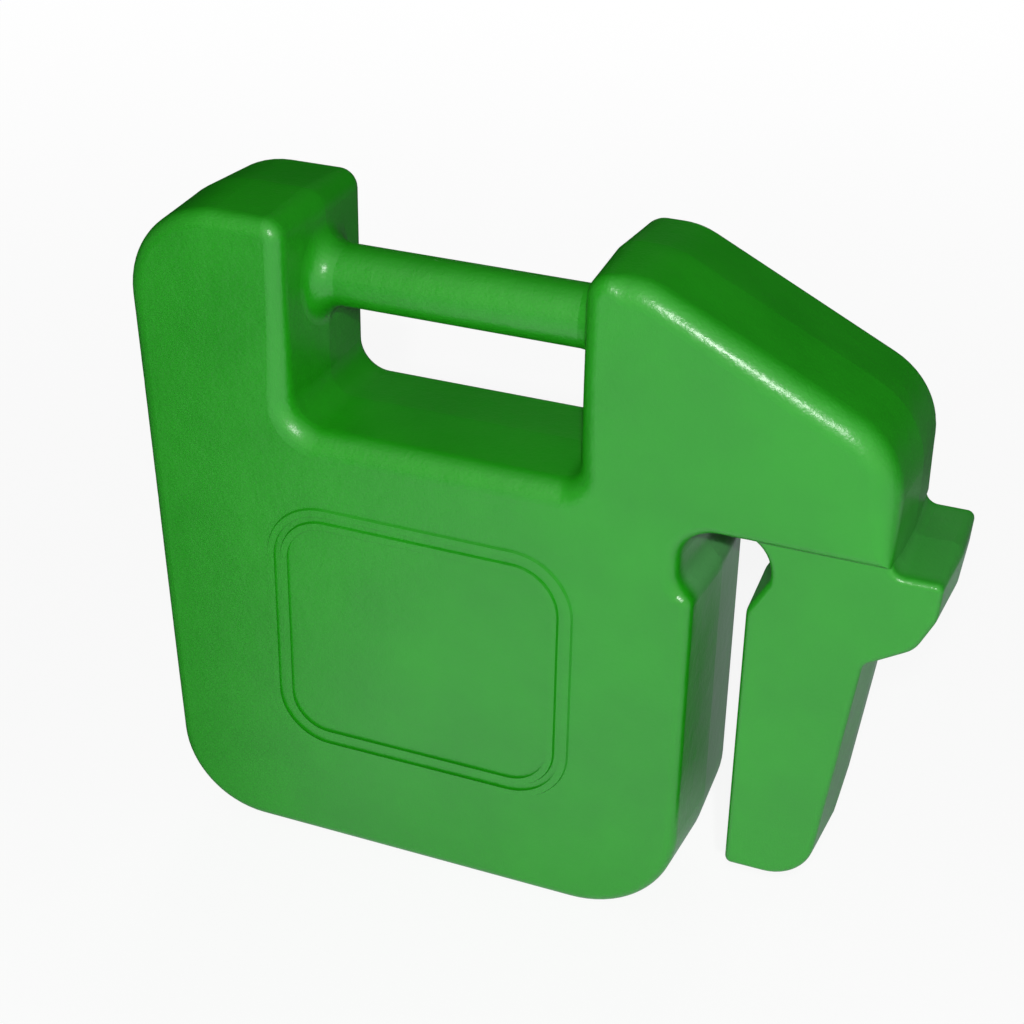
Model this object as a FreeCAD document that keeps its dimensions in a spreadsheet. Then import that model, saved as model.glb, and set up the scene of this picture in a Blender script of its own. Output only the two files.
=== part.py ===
"""Cast-iron suitcase weight that hangs in a row on a tractor's rear bracket.

One sand casting, poured in a two-part mould.  The parting plane is the middle of
the thickness, so both halves taper away from it and the rim keeps a fine ridge.
A tall block carries two towers with a round hand bar between them.  To the right
a hook with a sloping top reaches over, and a thinner leg hangs from it: the slot
between block and leg drops over the bracket's rail, and the wider pocket at its
top clears the rail's bead.  A small lug stands out at the root of the leg.

Frame: millimetres, +Z up, +X towards the hook, front face towards -Y.
Origin: middle of the length and of the thickness, on the base.
"""

import FreeCAD, Part
import os
import math
import Sketcher
from FreeCAD import Vector

DIMENSIONS = [
    # overall casting, measured on the parting plane
    ("thickness", 61.2, "front face to back face"),
    ("draft_angle", 3.0, "taper of every side wall, degrees"),
    ("tower_height", 237.0, "base to the top of both towers"),
    ("foot_side", 129.5, "origin to the outer side at the base"),
    ("crown_side", 140.7, "origin to the outer side at the top"),
    ("foot_round", 33.5, "corner of the base under the outer side"),
    ("toe_round", 38.2, "corner of the base beside the slot"),
    ("crown_round", 33.6, "outer corner of the left tower"),
    ("ground_land", 0.2, "how far the ridge under the base is ground back past flush"),
    # rounding of the rim, the outline of both faces
    ("rim_round", 4.0, "round the base, the outer side and the slot"),
    ("pocket_edge_round", 5.5, "on the block's wall of the pocket"),
    ("slope_edge_round", 8.0, "on the crest, where the slope starts"),
    ("slope_foot_round", 8.9, "on the hook's corner, where the slope ends"),
    ("shoulder_round", 5.5, "on the tops of the towers"),
    ("grip_side_round", 7.0, "on the side walls of the hand opening"),
    ("grip_edge_round", 8.0, "on the floor of the hand opening"),
    ("underside_round", 3.2, "on the hook's underside"),
    # hand opening
    ("grip_side", 79.2, "origin to the left wall of the hand opening"),
    ("grip_width", 99.0, "clear width between the towers"),
    ("grip_depth", 72.1, "top of the towers down to the floor of the opening"),
    ("floor_round_left", 9.0, "corner of the floor at the left tower"),
    ("floor_round_right", 5.6, "corner of the floor at the right tower"),
    ("tower_round_left", 8.1, "inner top corner of the left tower"),
    ("tower_round_right", 9.0, "inner top corner of the right tower"),
    ("bar_drop", 27.8, "top of the towers down to the hand bar's centre line"),
    ("bar_diameter", 21.0, "hand bar"),
    ("bar_flare", 8.0, "fillet where the bar runs into the towers"),
    # hook
    ("crest_width", 20.7, "flat top of the right tower"),
    ("crest_round", 26.4, "rounding between flat top and slope"),
    ("slope_angle", 26.12, "fall of the hook's top, degrees"),
    ("hook_reach", 123.1, "origin to the hook's outer wall"),
    ("hook_round", 29.4, "corner between slope and outer wall"),
    ("hook_wall", 40.8, "height of the outer wall, underside to the slope's line"),
    # bracket slot with its pocket
    ("slot_side", 62.6, "origin to the slot's wall on the block"),
    ("slot_width", 13.9, "rail slot"),
    ("pocket_depth", 5.7, "how far the pocket cuts into the block"),
    ("pocket_bulge", 6.7, "how far the pocket cuts into the leg"),
    ("pocket_height", 24.3, "hook's underside down to the lower end of the pocket"),
    ("pocket_knee", 12.7, "hook's underside down to the knee of the leg's pocket wall"),
    ("pocket_round", 11.5, "upper corner of the pocket in the block"),
    ("pocket_lip_round", 7.0, "where the pocket runs out into the slot"),
    ("pocket_inner_round", 11.2, "upper corner of the pocket in the leg"),
    ("pocket_knee_round", 3.0, "knee of the leg's pocket wall"),
    ("pocket_heel_round", 9.0, "where the slanted flank runs out into the slot"),
    # leg and lug
    ("leg_recess", 3.8, "how far the leg's faces lie behind the block's"),
    ("leg_round", 2.3, "rounding of the leg's front and back edges"),
    ("leg_height", 29.4, "base to the bottom of the leg"),
    ("leg_foot_width", 30.4, "leg's width at its bottom"),
    ("leg_step", 5.6, "hook's outer wall back to the leg's outer side below the lug"),
    ("leg_heel_round", 17.6, "outer bottom corner of the leg"),
    ("leg_toe_round", 3.7, "inner bottom corner of the leg"),
    ("lug_length", 16.2, "how far the lug stands out of the hook's outer wall"),
    ("lug_drop", 0.7, "hook's underside down to the lug's top face"),
    ("lug_nose", 14.4, "depth of the lug's upright nose"),
    ("lug_nose_lean", 0.9, "how far the nose leans in over that depth"),
    ("lug_cheek", 6.8, "how far the lug's underside is cut back below the nose"),
    ("lug_chin", 12.5, "height of that cut-back cheek"),
    ("lug_fall", 9.2, "fall of the lug's underside towards the leg"),
    ("lug_tip_round", 3.8, "upper corner of the lug"),
    ("lug_nose_round", 12.0, "corner below the lug's nose"),
    ("lug_chin_round", 11.0, "lower corner of the lug"),
    ("lug_seat_round", 3.0, "hollow where the lug meets the hook's wall and the leg"),
    # raised plain frame on the front face
    ("frame_side_margin", 39.6, "outer side at the base to the frame"),
    ("frame_slot_margin", 40.5, "frame to the slot's wall"),
    ("frame_base_margin", 39.0, "base to the frame"),
    ("frame_floor_margin", 27.9, "frame to the floor of the hand opening"),
    ("frame_corner", 22.0, "corner radius of the outer line"),
    ("frame_line", 2.4, "width of each raised line"),
    ("frame_gap", 2.6, "gap between the two raised lines"),
    ("frame_relief", 0.9, "how far the lines stand out"),
    ("frame_flank", 30.0, "slope of the lines' flanks, degrees"),
]

# levels and sides that several outlines share, as expressions over the sheet
GRIP_RIGHT = "(Dims.grip_width - Dims.grip_side)"
GRIP_FLOOR = "(Dims.tower_height - Dims.grip_depth)"
CREST_END = "(Dims.grip_width - Dims.grip_side + Dims.crest_width)"
SLOPE_FALL = "((Dims.hook_reach - %s) * tan(Dims.slope_angle * 1deg))" % CREST_END
SLOPE_END = "(Dims.tower_height - %s)" % SLOPE_FALL
UNDERSIDE = "(%s - Dims.hook_wall)" % SLOPE_END

EMBED = 8.0  # how far a limb is rooted inside the casting it grows from


def make_sheet(doc):
    """Spreadsheet of the driving dimensions, one named cell per row."""
    sheet = doc.addObject("Spreadsheet::Sheet", "Dims")
    for row, (alias, value, note) in enumerate(DIMENSIONS, start=1):
        sheet.set("A%d" % row, alias)
        sheet.set("B%d" % row, str(value))
        sheet.set("C%d" % row, note)
        sheet.setAlias("B%d" % row, alias)
    doc.recompute()
    return sheet


def new_sketch(body, name, role):
    """Empty sketch on one of the body's own origin planes."""
    plane = [p for p in body.Origin.OriginFeatures if p.Role == role][0]
    sketch = body.newObject("Sketcher::SketchObject", name)
    sketch.AttachmentSupport = [(plane, "")]
    sketch.MapMode = "FlatFace"
    return sketch


def dimension(sketch, kind, first, second, expression):
    """One driving dimension of a sketch, bound to the sheet."""
    value = sketch_value(sketch, expression)
    arguments = first if second is None else first + second
    index = sketch.addConstraint(Sketcher.Constraint(kind, *arguments, value))
    sketch.setExpression("Constraints[%d]" % index, expression)


def sketch_value(sketch, expression):
    """The number that an expression over the sheet has at the moment."""
    value = sketch.evalExpression(expression)
    return float(getattr(value, "Value", value))


def draw_outline(sketch, corners):
    """Closed outline through named corners, each (x, z, radius) in expressions.

    A corner without a radius stays sharp.  Every corner point is fixed by its
    two coordinates, and its arc by its radius.
    """
    places = [(sketch_value(sketch, x), sketch_value(sketch, z)) for x, z, _ in corners]
    count = len(corners)
    first = sketch.GeometryCount
    for i in range(count):
        start = Vector(*places[i], 0)
        end = Vector(*places[(i + 1) % count], 0)
        sketch.addGeometry(Part.LineSegment(start, end), False)
    for i in range(count):
        follow = first + (i + 1) % count
        sketch.addConstraint(Sketcher.Constraint("Coincident", first + i, 2, follow, 1))
    for i, (x, z, radius) in enumerate(corners):
        before = first + (i - 1) % count
        if radius is None:
            point = (first + i, 1)
        else:
            sketch.fillet(before, 2, sketch_value(sketch, radius), True, True)
            arc = sketch.GeometryCount - 2
            point = (sketch.GeometryCount - 1, 1)
            dimension(sketch, "Radius", (arc,), None, radius)
        dimension(sketch, "DistanceX", (-1, 1), point, x)
        dimension(sketch, "DistanceY", (-1, 1), point, z)


def block_outline():
    """Block, towers and hook in one closed outline, clockwise from the base."""
    pocket_side = "Dims.slot_side - Dims.pocket_depth"
    pocket_bottom = UNDERSIDE + " - Dims.pocket_height"
    base = "Dims.ground_land - Dims.thickness / 2 * tan(Dims.draft_angle * 1deg)"
    return [
        ("-Dims.foot_side", base, "Dims.foot_round"),
        ("-Dims.crown_side", "Dims.tower_height", "Dims.crown_round"),
        ("-Dims.grip_side", "Dims.tower_height", "Dims.tower_round_left"),
        ("-Dims.grip_side", GRIP_FLOOR, "Dims.floor_round_left"),
        (GRIP_RIGHT, GRIP_FLOOR, "Dims.floor_round_right"),
        (GRIP_RIGHT, "Dims.tower_height", "Dims.tower_round_right"),
        (CREST_END, "Dims.tower_height", "Dims.crest_round"),
        ("Dims.hook_reach", SLOPE_END, "Dims.hook_round"),
        ("Dims.hook_reach", UNDERSIDE, None),
        (pocket_side, UNDERSIDE, "Dims.pocket_round"),
        (pocket_side, pocket_bottom + " + Dims.pocket_depth", "Dims.pocket_lip_round"),
        ("Dims.slot_side", pocket_bottom, "Dims.pocket_lip_round"),
        ("Dims.slot_side", base, "Dims.toe_round"),
    ]


def leg_outline():
    """Leg and lug, clockwise from the root that is buried in the hook."""
    inner = "Dims.slot_side + Dims.slot_width"
    pocket = inner + " + Dims.pocket_bulge"
    root = pocket + " - Dims.pocket_inner_round - %g" % EMBED
    buried = UNDERSIDE + " + %g" % EMBED
    overlap = UNDERSIDE + " + 0.6"
    wall = "Dims.hook_reach - 0.3"
    tip = "Dims.hook_reach + Dims.lug_length"
    lug_top = UNDERSIDE + " - Dims.lug_drop"
    nose_end = lug_top + " - Dims.lug_nose"
    chin_end = nose_end + " - Dims.lug_chin"
    return [
        (root, buried, None),
        (wall, buried, None),
        (wall, lug_top, "Dims.lug_seat_round"),
        (tip, lug_top, "Dims.lug_tip_round"),
        (tip + " - Dims.lug_nose_lean", nose_end, "Dims.lug_nose_round"),
        (tip + " - Dims.lug_cheek", chin_end, "Dims.lug_chin_round"),
        ("Dims.hook_reach - Dims.leg_step", chin_end + " - Dims.lug_fall", "Dims.lug_seat_round"),
        (inner + " + Dims.leg_foot_width", "Dims.leg_height", "Dims.leg_heel_round"),
        (inner, "Dims.leg_height", "Dims.leg_toe_round"),
        (inner, UNDERSIDE + " - Dims.pocket_height", "Dims.pocket_heel_round"),
        (pocket, UNDERSIDE + " - Dims.pocket_knee", "Dims.pocket_knee_round"),
        (pocket, overlap, "Dims.pocket_inner_round"),
        (root, overlap, None),
    ]


def pad_both_ways(body, name, sketch, width):
    """Grow an outline to both sides of the parting plane, tapering outwards."""
    pad = body.newObject("PartDesign::Pad", name)
    pad.Profile = sketch
    pad.SideType = "Symmetric"
    pad.setExpression("Length", width)
    pad.setExpression("TaperAngle", "-Dims.draft_angle * 1deg")
    sketch.Visibility = False
    return pad


def pad_bar(body):
    """Round hand bar, rooted in both towers."""
    sketch = new_sketch(body, "BarSection", "YZ_Plane")
    sketch.addGeometry(Part.Circle(Vector(0, 1, 0), Vector(0, 0, 1), 5.0), False)
    dimension(sketch, "DistanceY", (-1, 1), (0, 3), "Dims.tower_height - Dims.bar_drop")
    sketch.addConstraint(Sketcher.Constraint("PointOnObject", 0, 3, -2))
    dimension(sketch, "Diameter", (0,), None, "Dims.bar_diameter")
    bar = body.newObject("PartDesign::Pad", "HandBar")
    bar.Profile = sketch
    bar.SideType = "Two sides"
    bar.setExpression("Length", GRIP_RIGHT + " + %g" % EMBED)
    bar.setExpression("Length2", "Dims.grip_side + %g" % EMBED)
    sketch.Visibility = False
    return bar


def grind_base(body):
    """Flat land ground on the ridge under the base, so that the weight stands."""
    sketch = new_sketch(body, "GroundLand", "XY_Plane")
    half = 400.0
    corners = [(-half, -half), (half, -half), (half, half), (-half, half)]
    for i, place in enumerate(corners):
        follow = corners[(i + 1) % 4]
        sketch.addGeometry(Part.LineSegment(Vector(*place, 0), Vector(*follow, 0)), False)
    cut = body.newObject("PartDesign::Pocket", "GroundBase")
    cut.Profile = sketch
    cut.Length = 20.0
    cut.Reversed = False
    sketch.Visibility = False
    return cut


def edge_names(shape, wanted):
    """Names of the edges for which the test holds."""
    return ["Edge%d" % n for n, edge in enumerate(shape.Edges, start=1) if wanted(edge)]


def samples(edge, count=5):
    """Points spread evenly along an edge."""
    first, last = edge.ParameterRange
    return [edge.valueAt(first + (last - first) * k / (count - 1)) for k in range(count)]


def lies_at_depth(edge, depth):
    """True for an edge in the plane of a front or back face."""
    return all(abs(abs(p.y) - depth) < 0.01 for p in samples(edge))


def round_edges(body, name, radius, wanted):
    """Constant rounding on the edges of the casting that pass the test."""
    base = body.Tip
    fillet = body.newObject("PartDesign::Fillet", name)
    fillet.Base = (base, edge_names(base.Shape, wanted))
    fillet.setExpression("Radius", radius)
    fillet.Document.recompute()
    return fillet


def frame_outline(inset):
    """Rounded rectangle, the given inset inside the frame's outer edge."""
    left = "-Dims.foot_side + Dims.frame_side_margin + " + inset
    right = "Dims.slot_side - Dims.frame_slot_margin - " + inset
    low = "Dims.frame_base_margin + " + inset
    high = GRIP_FLOOR + " - Dims.frame_floor_margin - " + inset
    corner = "Dims.frame_corner - " + inset
    return [(left, low, corner), (left, high, corner), (right, high, corner), (right, low, corner)]


def raise_line(body, name, inset):
    """One line of the frame, standing out of the front face."""
    sketch = new_sketch(body, name + "Outline", "XZ_Plane")
    sketch.setExpression("AttachmentOffset.Base.z", "Dims.thickness / 2")
    draw_outline(sketch, frame_outline(inset))
    draw_outline(sketch, frame_outline("(%s + Dims.frame_line)" % inset))
    line = body.newObject("PartDesign::Pad", name)
    line.Profile = sketch
    line.setExpression("Length", "Dims.frame_relief")
    line.setExpression("TaperAngle", "-Dims.frame_flank * 1deg")
    sketch.Visibility = False
    return line


def rim_radius(sheet, point):
    """Rounding of the rim at one point of a face's outline.

    The front face is rounded more than the back round the hand opening and
    along the slope.  The two ends of a corner that bulges outwards get the same
    radius, and the straight stretches lead from one radius to the next.
    """
    inset = sheet.thickness / 2 * math.tan(math.radians(sheet.draft_angle))
    grip_floor = sheet.tower_height - sheet.grip_depth - inset
    tower_wall = sheet.grip_width - sheet.grip_side
    tower_shoulder = sheet.tower_height - max(sheet.tower_round_left, sheet.tower_round_right)
    crest_end = tower_wall + sheet.crest_width
    crest_start = crest_end - sheet.crest_round * math.tan(math.radians(sheet.slope_angle / 2))
    fall = (sheet.hook_reach - crest_end) * math.tan(math.radians(sheet.slope_angle))
    underside = sheet.tower_height - fall - sheet.hook_wall + inset
    heel = underside - sheet.pocket_height

    on_hook = point.x > sheet.slot_side - sheet.pocket_depth
    if on_hook and abs(point.z - underside) < 2.0:
        return sheet.underside_round
    if 0 < point.x and heel < point.z < underside:
        return sheet.pocket_edge_round
    if point.z < grip_floor - 2.0:
        return sheet.rim_round
    if point.y > 0:
        return sheet.shoulder_round
    if point.x > sheet.hook_reach - sheet.hook_round:
        return sheet.slope_foot_round
    if point.x > crest_start - 1.0:
        return sheet.slope_edge_round
    if abs(point.z - grip_floor) < 2.0:
        return sheet.grip_edge_round
    beside_grip = min(abs(point.x + sheet.grip_side), abs(point.x - tower_wall)) < 6.0
    if beside_grip and point.z < tower_shoulder - 2.0:
        return sheet.grip_side_round
    return sheet.shoulder_round


def round_rim(doc, body, sheet):
    """Rounding of both faces' outlines, whose radius changes along the way."""
    depth = sheet.thickness / 2
    edges = []
    for number, edge in enumerate(body.Shape.Edges, start=1):
        if lies_at_depth(edge, depth):
            first, last = edge.Vertexes[0].Point, edge.Vertexes[-1].Point
            edges.append((number, rim_radius(sheet, first), rim_radius(sheet, last)))
    rim = doc.addObject("Part::Fillet", "RimRounding")
    rim.Base = body
    rim.Edges = edges
    body.Visibility = False
    doc.recompute()
    return rim


def make_rough_casting(doc, sheet):
    """Leg, block over its root, and hand bar, with the rim still sharp."""
    body = doc.addObject("PartDesign::Body", "RoughCasting")
    leg = new_sketch(body, "LegOutline", "XZ_Plane")
    draw_outline(leg, leg_outline())
    pad_both_ways(body, "Leg", leg, "Dims.thickness - 2 * Dims.leg_recess")
    doc.recompute()
    leg_face = sheet.thickness / 2 - sheet.leg_recess
    round_edges(body, "LegRounding", "Dims.leg_round", lambda e: lies_at_depth(e, leg_face))

    block = new_sketch(body, "BlockOutline", "XZ_Plane")
    draw_outline(block, block_outline())
    pad_both_ways(body, "Block", block, "Dims.thickness")
    doc.recompute()
    grind_base(body)
    doc.recompute()
    pad_bar(body)
    doc.recompute()

    walls = (-sheet.grip_side, sheet.grip_width - sheet.grip_side)
    bar_height = sheet.tower_height - sheet.bar_drop
    reach = sheet.bar_diameter / 2 + 0.5

    def at_bar_end(edge):
        """Edge where the bar runs into a tower's wall."""
        for p in samples(edge):
            off_axis = math.hypot(p.y, p.z - bar_height)
            at_wall = min(abs(p.x - wall) for wall in walls) < 2.0
            if off_axis > reach or not at_wall:
                return False
        return True

    round_edges(body, "BarFlare", "Dims.bar_flare", at_bar_end)
    return body


def make_casting(doc, sheet):
    """Finished casting: rough casting, rounded rim, and the raised frame."""
    rough = make_rough_casting(doc, sheet)
    rim = round_rim(doc, rough, sheet)
    body = doc.addObject("PartDesign::Body", "Casting")
    body.Label = "weight_casting"
    body.BaseFeature = rim
    doc.recompute()
    raise_line(body, "OuterLine", "0")
    doc.recompute()
    raise_line(body, "InnerLine", "(Dims.frame_line + Dims.frame_gap)")
    doc.recompute()
    return body


def check(doc, body):
    """Stop before anything is written if a feature failed or the solid is broken."""
    failed = [o.Label for o in doc.Objects if {"Invalid", "Error"} & set(o.State)]
    if failed:
        raise RuntimeError("failed features: " + ", ".join(failed))
    shape = body.Shape
    if shape.isNull() or not shape.isValid() or len(shape.Solids) != 1:
        raise RuntimeError("the casting is not one valid solid")


def main():
    doc = FreeCAD.newDocument("RearWeight")
    sheet = make_sheet(doc)
    body = make_casting(doc, sheet)
    check(doc, body)
    os.makedirs("parts", exist_ok=True)
    body.Shape.exportStep("parts/weight_casting.step")


main()
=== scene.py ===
"""Green suitcase weight for a tractor's rear bracket, as it stands for a catalogue picture.

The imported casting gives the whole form.  The looks add the skin of the sand mould
under a gloss enamel, then the white floor, the studio light and the camera.
Metres, +Z up, +X towards the hook, front face towards -Y.
"""

import math

import bpy
from mathutils import Matrix, Vector


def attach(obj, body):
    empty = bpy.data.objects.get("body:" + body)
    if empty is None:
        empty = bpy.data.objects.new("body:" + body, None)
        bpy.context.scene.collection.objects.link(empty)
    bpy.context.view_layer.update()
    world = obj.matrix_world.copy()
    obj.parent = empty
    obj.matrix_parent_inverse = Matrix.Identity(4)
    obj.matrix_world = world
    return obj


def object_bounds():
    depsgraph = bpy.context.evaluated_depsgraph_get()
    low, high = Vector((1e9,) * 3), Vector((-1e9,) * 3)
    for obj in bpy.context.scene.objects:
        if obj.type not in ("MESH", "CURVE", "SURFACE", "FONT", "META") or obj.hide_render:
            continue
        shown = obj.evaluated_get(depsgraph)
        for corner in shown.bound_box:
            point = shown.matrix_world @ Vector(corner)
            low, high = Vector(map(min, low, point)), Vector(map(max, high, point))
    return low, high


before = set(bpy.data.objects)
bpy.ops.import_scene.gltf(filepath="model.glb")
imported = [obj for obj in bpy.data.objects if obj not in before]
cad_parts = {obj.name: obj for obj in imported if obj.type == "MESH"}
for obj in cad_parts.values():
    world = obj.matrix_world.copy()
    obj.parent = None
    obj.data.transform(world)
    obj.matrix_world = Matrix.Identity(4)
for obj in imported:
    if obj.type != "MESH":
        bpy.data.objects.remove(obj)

cad_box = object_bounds()

# Casting: the whole weight, one piece of grey iron poured in a two-part sand mould.
# It was shot-blasted, and its parting ridge was fettled down to a fine line.
# Nothing is fixed to it.

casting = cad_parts["weight_casting"]
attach(casting, "root")

# Skin: the iron keeps the grains of the mould's sand and the slow waves of its
# rammed walls, both softened by the enamel that flowed over them.  The group puts
# out the height of the skin in metres.

waves_per_metre, wave_height = 140.0, 0.00020
grains_per_metre, grain_height = 900.0, 0.000090
skin_detail, skin_roughness = 2.0, 0.5


def link(tree, source, target):
    """Joins two sockets of a node tree."""
    tree.links.new(source, target)


def noise(tree, coordinates, per_metre, detail, roughness, name):
    """Noise on the given coordinates, with so many cells per metre."""
    node = tree.nodes.new("ShaderNodeTexNoise")
    node.name = node.label = name
    node.inputs["Scale"].default_value = per_metre
    node.inputs["Detail"].default_value = detail
    node.inputs["Roughness"].default_value = roughness
    link(tree, coordinates, node.inputs["Vector"])
    return node.outputs["Fac"]


def reckon(tree, operation, *values):
    """Math node on sockets and plain numbers."""
    node = tree.nodes.new("ShaderNodeMath")
    node.operation = operation
    for value, socket in zip(values, node.inputs):
        if isinstance(value, float):
            socket.default_value = value
        else:
            link(tree, value, socket)
    return node.outputs["Value"]


skin = bpy.data.node_groups.new("sand cast skin", "ShaderNodeTree")
skin.interface.new_socket(name="Position", in_out="INPUT", socket_type="NodeSocketVector")
skin.interface.new_socket(name="Height", in_out="OUTPUT", socket_type="NodeSocketFloat")
on_casting = skin.nodes.new("NodeGroupInput").outputs["Position"]
skin_height = skin.nodes.new("NodeGroupOutput").inputs["Height"]
waves = noise(skin, on_casting, waves_per_metre, skin_detail, skin_roughness, "slow waves")
grains = noise(skin, on_casting, grains_per_metre, skin_detail, skin_roughness, "sand grains")
wavy = reckon(skin, "MULTIPLY", waves, wave_height)
link(skin, reckon(skin, "MULTIPLY_ADD", grains, grain_height, wavy), skin_height)

# Gloss enamel: one thick coat of machinery green, sprayed on the blasted iron and
# stoved.  Its depth is a little uneven, which shows in the green and in the gloss.

thin_green = (0.007, 0.245, 0.003, 1.0)
thick_green = (0.011, 0.295, 0.005, 1.0)
smooth, dull = 0.285, 0.35
reflection = 0.8
patches_per_metre, patch_detail, patch_roughness = 22.0, 3.0, 0.55
thin_coat, thick_coat = 0.2, 0.8


def new_material(name):
    """Node material that holds only its output node."""
    material = bpy.data.materials.new(name)
    material.use_nodes = True
    material.node_tree.nodes.clear()
    material.node_tree.nodes.new("ShaderNodeOutputMaterial")
    return material


def spread(tree, value, limits, results, soft=False):
    """Takes a value from between two limits to between two results."""
    node = tree.nodes.new("ShaderNodeMapRange")
    node.interpolation_type = "SMOOTHSTEP" if soft else "LINEAR"
    node.inputs["From Min"].default_value, node.inputs["From Max"].default_value = limits
    node.inputs["To Min"].default_value, node.inputs["To Max"].default_value = results
    link(tree, value, node.inputs["Value"])
    return node.outputs["Result"]


enamel = new_material("green gloss enamel")
tree = enamel.node_tree
place = tree.nodes.new("ShaderNodeTexCoord").outputs["Object"]
paint = tree.nodes.new("ShaderNodeBsdfPrincipled")
paint.inputs["Specular IOR Level"].default_value = reflection
link(tree, paint.outputs["BSDF"], tree.nodes["Material Output"].inputs["Surface"])

depth = noise(tree, place, patches_per_metre, patch_detail, patch_roughness,
              "depth of the coat")
green = tree.nodes.new("ShaderNodeValToRGB")
green.color_ramp.interpolation = "EASE"
thin_end, thick_end = green.color_ramp.elements
thin_end.position, thin_end.color = thin_coat, thin_green
thick_end.position, thick_end.color = thick_coat, thick_green
link(tree, depth, green.inputs["Fac"])
gloss = spread(tree, depth, (thin_coat, thick_coat), (smooth, dull), soft=True)
link(tree, gloss, paint.inputs["Roughness"])

surface = tree.nodes.new("ShaderNodeGroup")
surface.node_tree = skin
link(tree, place, surface.inputs["Position"])
bump = tree.nodes.new("ShaderNodeBump")
bump.inputs["Strength"].default_value = 1.0
bump.inputs["Distance"].default_value = 1.0
link(tree, surface.outputs["Height"], bump.inputs["Height"])
link(tree, bump.outputs["Normal"], paint.inputs["Normal"])

# Painted sheen: a milky colour mixed into the green in the pocket and on the seat
# of the lug stands in for the pale reflection that the gloss shows there.

milky_sheen = (0.60, 0.72, 0.72, 1.0)
pocket_sheen = {"centre": (0.057, 0.0, 0.145), "limits": (0.013, 0.042), "strength": 0.13}
lug_sheen = {"centre": (0.132, 0.0, 0.155), "limits": (0.010, 0.018), "strength": 0.05}
deep_inside, at_the_rim = 0.021, 0.0268


def measure(tree, operation, vector, by=(0.0, 0.0, 0.0)):
    """Vector math node on a socket and, where it needs one, a fixed vector."""
    node = tree.nodes.new("ShaderNodeVectorMath")
    node.operation = operation
    node.inputs[1].default_value = by
    link(tree, vector, node.inputs[0])
    return node.outputs["Value" if operation in ("DISTANCE", "LENGTH") else "Vector"]


def painted_sheen(tree, side_view, centre, limits, strength):
    """Painted milky sheen round an axis through the casting, full within the first limit."""
    away = measure(tree, "DISTANCE", side_view, centre)
    return spread(tree, away, limits, (strength, 0.0), soft=True)


side_view = measure(tree, "MULTIPLY", place, (1.0, 0.0, 1.0))
sheen_in_pocket = painted_sheen(tree, side_view, **pocket_sheen)
sheen_on_lug = painted_sheen(tree, side_view, **lug_sheen)
sheens = reckon(tree, "ADD", sheen_in_pocket, sheen_on_lug)
axes = tree.nodes.new("ShaderNodeSeparateXYZ")
link(tree, place, axes.inputs["Vector"])
from_middle = reckon(tree, "ABSOLUTE", axes.outputs["Y"])
inside = spread(tree, from_middle, (deep_inside, at_the_rim), (1.0, 0.0), soft=True)
# Mixes the painted milky sheen into the green of the enamel.
coat = tree.nodes.new("ShaderNodeMix")
coat.data_type = "RGBA"
clear_colour, sheen_colour = [socket for socket in coat.inputs if socket.type == "RGBA"]
sheen_colour.default_value = milky_sheen
link(tree, reckon(tree, "MULTIPLY", sheens, inside), coat.inputs["Factor"])
link(tree, green.outputs["Color"], clear_colour)
coat_colour, = [socket for socket in coat.outputs if socket.type == "RGBA"]
link(tree, coat_colour, paint.inputs["Base Color"])

casting.data.materials.clear()
casting.data.materials.append(enamel)

# Floor: white paper on a table, on which the weight stands on its ground base.
# It keeps the soft shadow.  Seen only in reflections, it glows with painted light:
# bright in front, dim at the left, with a painted shadow behind the weight, dark far behind.

paper_size = 8.0
paper_white = (0.86, 0.86, 0.86, 1.0)
pure_white = (1.0, 1.0, 1.0, 1.0)
cool_white = (0.88, 0.96, 1.0, 1.0)
fading_from, fading_to = 0.25, 1.4
white_near = 0.88
pivot = (0.0, 0.25, 0.0)
bearings, sides = (-0.50, -0.20), (0.10, 0.95)
front, back = -0.10, 0.70
lit_front, painted_shade_behind, dark = 1.0, ((0.2, 0.35), (0.44, 0.44), (0.56, 0.08)), 0.08


def levels(tree, value, first, between, last):
    """Grey levels at 0, at the stops between, and at 1."""
    node = tree.nodes.new("ShaderNodeValToRGB")
    stops = node.color_ramp.elements
    stops[0].color = (first, first, first, 1.0)
    stops[1].color = (last, last, last, 1.0)
    for position, level in between:
        stops.new(position).color = (level, level, level, 1.0)
    link(tree, value, node.inputs["Fac"])
    return node.outputs["Color"]


def mixed(tree, share, first, second):
    """Two shaders, the second one in the given share."""
    node = tree.nodes.new("ShaderNodeMixShader")
    link(tree, share, node.inputs["Fac"])
    link(tree, first, node.inputs[1])
    link(tree, second, node.inputs[2])
    return node.outputs["Shader"]


bpy.ops.mesh.primitive_plane_add(size=paper_size, location=(0.0, 0.0, cad_box[0][2]))
floor = bpy.context.object
floor.name = "floor"
paper = new_material("white paper")
tree = paper.node_tree
place = tree.nodes.new("ShaderNodeTexCoord").outputs["Object"]
rays = tree.nodes.new("ShaderNodeLightPath")
cover = tree.nodes.new("ShaderNodeBsdfDiffuse")
cover.inputs["Color"].default_value = paper_white
glow = tree.nodes.new("ShaderNodeEmission")
glow.inputs["Color"].default_value = pure_white

away = measure(tree, "LENGTH", place)
whiteness = spread(tree, away, (fading_from, fading_to), (white_near, 1.0))
seen = mixed(tree, whiteness, cover.outputs["BSDF"], glow.outputs["Emission"])

# The glow that glossy rays see is painted light: it fades to the left, dips as a painted
# shadow just behind the weight, and goes dark far behind.
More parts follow.
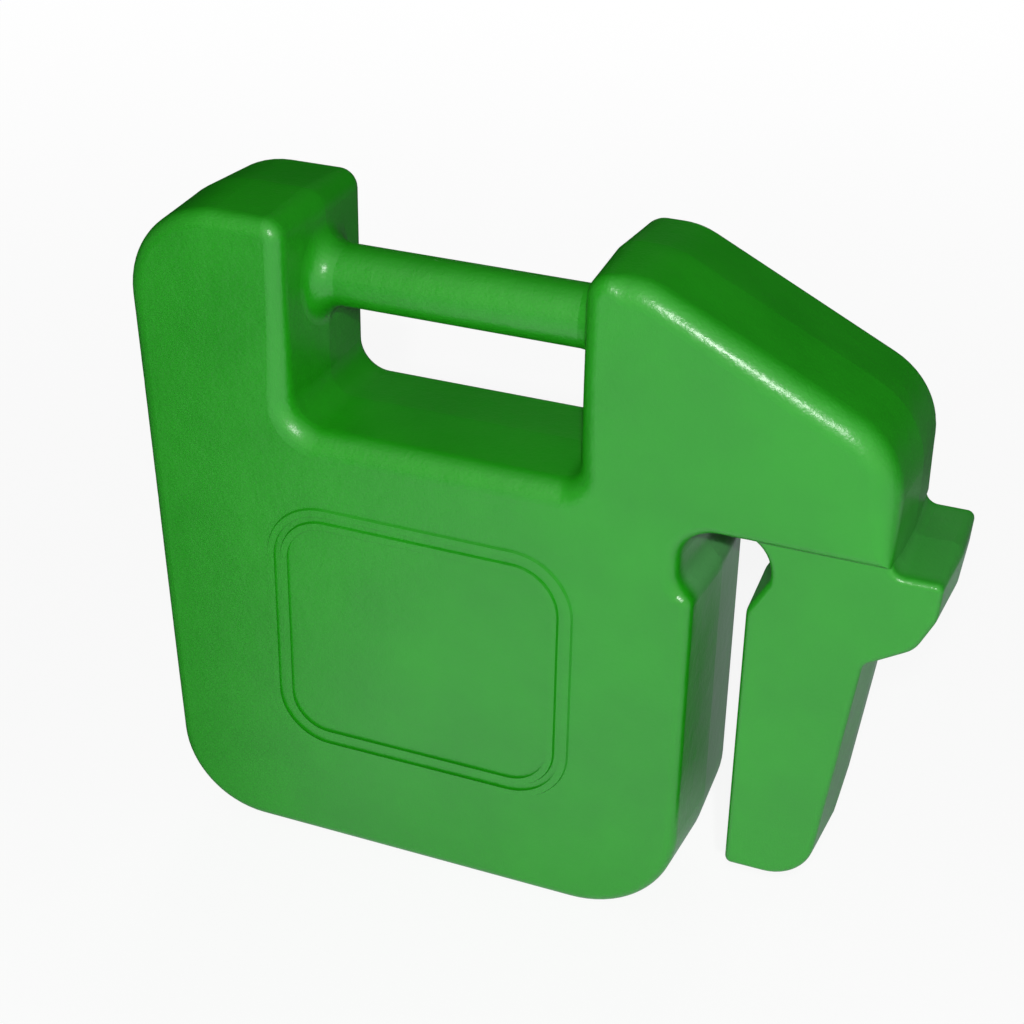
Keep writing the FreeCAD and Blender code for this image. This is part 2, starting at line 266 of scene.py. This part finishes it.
axes = tree.nodes.new("ShaderNodeSeparateXYZ")
link(tree, place, axes.inputs["Vector"])
depth = spread(tree, axes.outputs["Y"], (front, back), (0.0, 1.0))
bearing = measure(tree, "NORMALIZE", measure(tree, "SUBTRACT", place, pivot))
sideways = tree.nodes.new("ShaderNodeSeparateXYZ")
link(tree, bearing, sideways.inputs["Vector"])
side_light = spread(tree, sideways.outputs["X"], bearings, sides, soft=True)
far_light = levels(tree, depth, lit_front, painted_shade_behind, dark)
painted_mirror_light = reckon(tree, "MULTIPLY", side_light, far_light)
painted_reflection = tree.nodes.new("ShaderNodeEmission")
painted_reflection.inputs["Color"].default_value = cool_white
link(tree, painted_mirror_light, painted_reflection.inputs["Strength"])

unseen = mixed(tree, rays.outputs["Is Glossy Ray"], cover.outputs["BSDF"],
               painted_reflection.outputs["Emission"])
paper_shader = mixed(tree, rays.outputs["Is Camera Ray"], unseen, seen)
link(tree, paper_shader, tree.nodes["Material Output"].inputs["Surface"])
floor.data.materials.append(paper)

# Studio: a white backdrop in a room that is bright in front and dark behind.
# The main lamp stands far behind the lens and lights the front evenly, a small
# one just above the lens draws the bright edges, a soft one fills the back.

room_light = 0.13
room_depth = (-0.8, 0.75)
room_front, room_back = 1.0, 0.02
room_between = ((0.25, 1.0), (0.42, 0.50), (0.58, 0.40), (0.77, 0.10))
room_bearings, room_sides = (-0.55, -0.30), (0.20, 1.0)

world = bpy.data.worlds.new("white studio")
bpy.context.scene.world = world
world.use_nodes = True
tree = world.node_tree
tree.nodes.clear()
rays = tree.nodes.new("ShaderNodeLightPath")
direction = tree.nodes.new("ShaderNodeSeparateXYZ")
towards = tree.nodes.new("ShaderNodeTexCoord").outputs["Generated"]
link(tree, towards, direction.inputs["Vector"])
depth = spread(tree, direction.outputs["Y"], room_depth, (0.0, 1.0))
side_light = spread(tree, direction.outputs["X"], room_bearings, room_sides, soft=True)
far_light = levels(tree, depth, room_front, room_between, room_back)
mirrored_room = reckon(tree, "MULTIPLY", far_light, side_light)

strength = tree.nodes.new("ShaderNodeMapRange")
strength.inputs["To Min"].default_value = room_light
link(tree, rays.outputs["Is Glossy Ray"], strength.inputs["Value"])
link(tree, mirrored_room, strength.inputs["To Max"])
walls = tree.nodes.new("ShaderNodeBackground")
walls.inputs["Color"].default_value = pure_white
link(tree, strength.outputs["Result"], walls.inputs["Strength"])
backdrop = tree.nodes.new("ShaderNodeBackground")
backdrop.inputs["Color"].default_value = pure_white
room = mixed(tree, rays.outputs["Is Camera Ray"], walls.outputs["Background"],
             backdrop.outputs["Background"])
link(tree, room, tree.nodes.new("ShaderNodeOutputWorld").inputs["Surface"])

middle = Vector((0.0, 0.0, 0.12))
eye = Vector((0.2032, -0.5474, 0.4568))
above_lens = eye + Vector((0.0, 0.0, 0.036))
main_distance = 2.2


def lamp(name, place, size, power):
    """Round area lamp aimed at the middle of the weight."""
    data = bpy.data.lights.new(name, "AREA")
    data.shape = "DISK"
    data.size = size
    data.energy = power
    item = bpy.data.objects.new(name, data)
    bpy.context.collection.objects.link(item)
    item.location = place
    item.rotation_euler = (middle - Vector(place)).to_track_quat("-Z", "Y").to_euler()
    return item


lamp("lens lamp", above_lens, size=0.03, power=1.5)
far_behind_lens = middle + (above_lens - middle).normalized() * main_distance
main = lamp("main lamp", far_behind_lens, size=0.07, power=29.0)
main.visible_glossy = False
fill = lamp("low soft lamp behind", (-0.5, 1.6, 0.45), size=1.0, power=12.0)
fill.visible_glossy = False

# Camera: held by hand in front of the weight, a little to its right and above.
# Its place, aim, roll and lens come from the straight edges of the casting.

aim = Vector((-0.0083, 0.0, 0.1306))
roll = math.radians(1.257)
focal_pixels = 1980.2
frame_pixels = 1024
lens_centre_pixels = (522.0, 520.1)

camera_data = bpy.data.cameras.new("catalogue camera")
camera_data.sensor_width = 36.0
camera_data.lens = focal_pixels / frame_pixels * camera_data.sensor_width
camera_data.shift_x = (frame_pixels / 2 - lens_centre_pixels[0]) / frame_pixels
camera_data.shift_y = (lens_centre_pixels[1] - frame_pixels / 2) / frame_pixels
camera_data.clip_start = 0.01
camera = bpy.data.objects.new("catalogue camera", camera_data)
bpy.context.collection.objects.link(camera)
camera.location = eye
turn = (aim - eye).to_track_quat("-Z", "Y").to_matrix()
camera.rotation_euler = (turn @ Matrix.Rotation(roll, 3, "Z")).to_euler()
bpy.context.scene.camera = camera
bpy.context.scene.view_settings.view_transform = "Standard"
